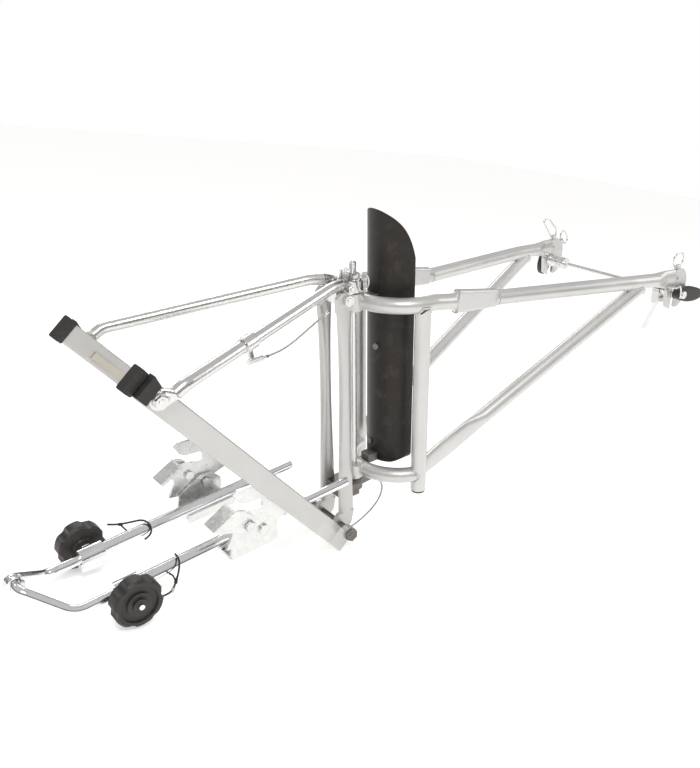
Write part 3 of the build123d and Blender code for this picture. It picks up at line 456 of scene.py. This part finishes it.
def seam(start, end, radius, base, along, width, count=56):
    """Where the surface of a tube running from start to end first meets another tube."""
    start, end, base = Vector(start), Vector(end), Vector(base)
    along = Vector(along).normalized()
    way = (end - start).normalized()
    reach = (end - start).length
    u = way.orthogonal().normalized()
    v = way.cross(u)
    points = []
    for k in range(count):
        turn_by = 2 * math.pi * k / count
        skin = start + (u * math.cos(turn_by) + v * math.sin(turn_by)) * radius
        step = 0.0
        while step < reach:
            spot = skin + way * step - base
            if (spot - along * spot.dot(along)).length < width:
                break
            step += 0.1
        points.append(tuple(skin + way * (step - 0.25)))
    return points


TUBE_RADIUS = 8.0
WELD_RADIUS = 0.95
STRUT_AT = (47.0, 50.5)
BOSS_LEVELS = (("upper", 185.0, 10.0), ("lower", -1.0, 9.5))
BAR_ALONG = Vector((-221.5, 0, 255.6)).normalized()
BAR_ACROSS = Vector((BAR_ALONG.z, 0, -BAR_ALONG.x))
CAP_CENTRE = (-261.0, 70.5, 197.0)
CAP_HALF = (10.9, 5.2)
CAP_INSETS = (1.5, 3.6, 5.7)


def weld(name, start, end, base, along, width):
    """A rippled bead where the frame tube from start to end meets the round piece at base."""
    points = seam(start, end, TUBE_RADIUS, base, along, width)
    tube(name, points, WELD_RADIUS, "tow_frame", "tow_tube", closed=True, wobble=0.16)


def frame_welds(side, tag):
    """Beads round one side's diagonal, strut and yoke ends, and at the two hub bosses."""
    x, y = STRUT_AT
    y *= side
    arm = (151.0, side * 51.3, 172.1)
    arm_way = (182.0, side * 33.2, -11.6)
    diagonal = ((230.0, side * 72.23, 94.4), (349.0, side * 86.0, 152.5))
    weld(f"weld_diagonal_{tag}", *diagonal, arm, arm_way, TUBE_RADIUS)
    upper_yoke = ((x, side * 49.6, 185), (1, side * 0.26, 0))
    weld(f"weld_strut_{tag}", (x, y, 150), (x, y, 184), *upper_yoke, TUBE_RADIUS)
    yoke_end = ((26, side * 45.2, -1), (46, side * 49.8, -1))
    weld(f"weld_yoke_{tag}", *yoke_end, (x, y, 0.0), (0, 0, 1), TUBE_RADIUS)
    for level, height, boss in BOSS_LEVELS:
        ends = ((12.0, side * 17.0, height), (8.0, 0, height))
        weld(f"weld_boss_{level}_{tag}", *ends, (0, 0, 0), (0, 0, 1), boss)


def cap_ribs(side, tag, per_edge=8):
    """Raised ribs round the plastic cap at the top of one flat bar."""
    x, y, z = CAP_CENTRE
    corners = [(-1, -1), (-1, 1), (1, 1), (1, -1)]
    for k, inset in enumerate(CAP_INSETS):
        middle = Vector((x, side * y, z)) + BAR_ALONG * (inset - 3.9)
        loop = []
        for (a, b), (c, d) in zip(corners, corners[1:] + corners[:1]):
            for t in range(per_edge):
                e, f = a + (c - a) * t / per_edge, b + (d - b) * t / per_edge
                spot = middle + BAR_ACROSS * (e * CAP_HALF[0]) + Vector((0, f * CAP_HALF[1], 0))
                loop.append(tuple(spot))
        tube(f"cap_rib_{tag}_{k}", loop, 0.55, "drawbar", "black_plastic", closed=True)


for side, tag in ((-1, "near"), (1, "far")):
    frame_welds(side, tag)
    cap_ribs(side, tag)

tube("pin_thread", helix(0, 0, 218.5, 225.2, 3.35, 1.0), 0.42, "drawbar", "bright_steel", sides=6)
tube("post_spring", helix(-11, -3, 208.6, 217.5, 2.3, 1.5), 0.45, "drawbar", "bright_steel", sides=8)

# Short beads on the cords: name, radius, body, finish and path.
BEADS = (
    (
        *("tether_end_near", 0.8, "tube_frame", "black_cord"),
        [(-233.2, -47.4, -10.3), (-235.0, -47, -3.9), (-238.3, -47, 0.2)],
    ),
    (
        *("tether_end_far", 0.8, "tube_frame", "black_cord"),
        [(-241.2, 47.5, 1.6), (-238.5, 46.8, -2.8), (-236.0, 46, -6.5)],
    ),
    (
        *("tether_knot_near", 1.5, "tube_frame", "black_cord"),
        [(-233.6, -47.6, -12.2), (-233.0, -47.4, -10.0), (-232.4, -47.2, -8.2)],
    ),
    (
        *("tether_knot_far", 1.5, "tube_frame", "black_cord"),
        [(-243.4, 48.3, 2.7), (-241.4, 47.6, 2.6), (-239.6, 46.8, 2.6)],
    ),
    (
        *("tether_tag_near", 1.5, "tube_frame", "pale_steel"),
        [(-239.0, -50.0, -18.0), (-236.4, -48.9, -14.6)],
    ),
    (
        *("lanyard_crimp_front", 1.5, "drawbar", "bright_steel"),
        [(-57.5, -32.2, 192.2), (-50.2, -31.0, 194.4)],
    ),
    (
        *("lanyard_crimp_rear", 1.5, "drawbar", "bright_steel"),
        [(-141.0, -57.8, 179.6), (-133.0, -55.0, 178.5)],
    ),
)
for name, radius, body, finish, points in BEADS:
    tube(name, points, radius, body, finish)


# ------------------------------------------------------------------ floor and light
def plane(name, size, place, rotation=(0, 0, 0)):
    mesh = bpy.data.meshes.new(name)
    bm = bmesh.new()
    bmesh.ops.create_grid(bm, x_segments=1, y_segments=1, size=size)
    bm.to_mesh(mesh)
    bm.free()
    obj = bpy.data.objects.new(name, mesh)
    obj.location = place
    obj.rotation_euler = rotation
    bpy.context.scene.collection.objects.link(obj)
    return obj


floor = plane("floor", 6, (0, 0, -0.0006))
pale = Mat("pale_floor", Roughness=0.95, Emission_Color=rgb(1.0, 0.995, 0.98), Emission_Strength=0.46)
soft = pale.noise(pale.coords(), 3, 2)
pale.to(Base_Color=pale.mix(soft, rgb(0.95, 0.945, 0.935), rgb(0.97, 0.965, 0.955)))
paint(floor, pale.material)


def area(name, place, size, power, colour=(1, 1, 1), target=(0, 0, 0.15)):
    data = bpy.data.lights.new(name, "AREA")
    data.shape = "RECTANGLE"
    data.size, data.size_y = size
    data.energy = power
    data.color = colour
    lamp = bpy.data.objects.new(name, data)
    lamp.location = place
    lamp.rotation_euler = (Vector(place) - Vector(target)).to_track_quat("Z", "Y").to_euler()
    bpy.context.scene.collection.objects.link(lamp)


area("key", (-0.9, -1.3, 1.9), (0.7, 0.5), 17, (1.0, 0.99, 0.97))
area("fill", (1.6, -1.0, 1.1), (0.5, 1.0), 5)
area("rim", (0.3, 1.6, 1.4), (1.6, 0.4), 9)

world = bpy.data.worlds.new("studio")
bpy.context.scene.world = world
world.use_nodes = True
tree = world.node_tree
background = tree.nodes["Background"]
background.inputs["Strength"].default_value = 0.60
# A bright sky with a darker belt round the horizon, which gives the plated tubes their dark streaks.
sky = tree.nodes.new("ShaderNodeTexCoord")
height = tree.nodes.new("ShaderNodeSeparateXYZ")
ramp = tree.nodes.new("ShaderNodeValToRGB")
tree.links.new(sky.outputs["Generated"], height.inputs[0])
tree.links.new(height.outputs["Z"], ramp.inputs["Fac"])
stops = ramp.color_ramp.elements
stops[0].position = 0.0
stops[0].color = (0.62, 0.61, 0.60, 1)
stops[1].position = 0.62
stops[1].color = (1.0, 1.0, 1.0, 1)
for place, tone in ((0.05, 0.16), (0.22, 0.20), (0.34, 0.85)):
    stop = stops.new(place)
    stop.color = (tone, tone * 0.985, tone * 0.97, 1)
seen = tree.nodes.new("ShaderNodeLightPath")
white = tree.nodes.new("ShaderNodeBackground")
white.inputs["Color"].default_value = (1.0, 1.0, 0.998, 1)
white.inputs["Strength"].default_value = 1.0
choice = tree.nodes.new("ShaderNodeMixShader")
tree.links.new(ramp.outputs["Color"], background.inputs["Color"])
tree.links.new(seen.outputs["Is Camera Ray"], choice.inputs[0])
tree.links.new(background.outputs[0], choice.inputs[1])
tree.links.new(white.outputs[0], choice.inputs[2])
tree.links.new(choice.outputs[0], tree.nodes["World Output"].inputs["Surface"])
bpy.context.scene.view_settings.view_transform = "Standard"
bpy.context.scene.view_settings.exposure = 0.0
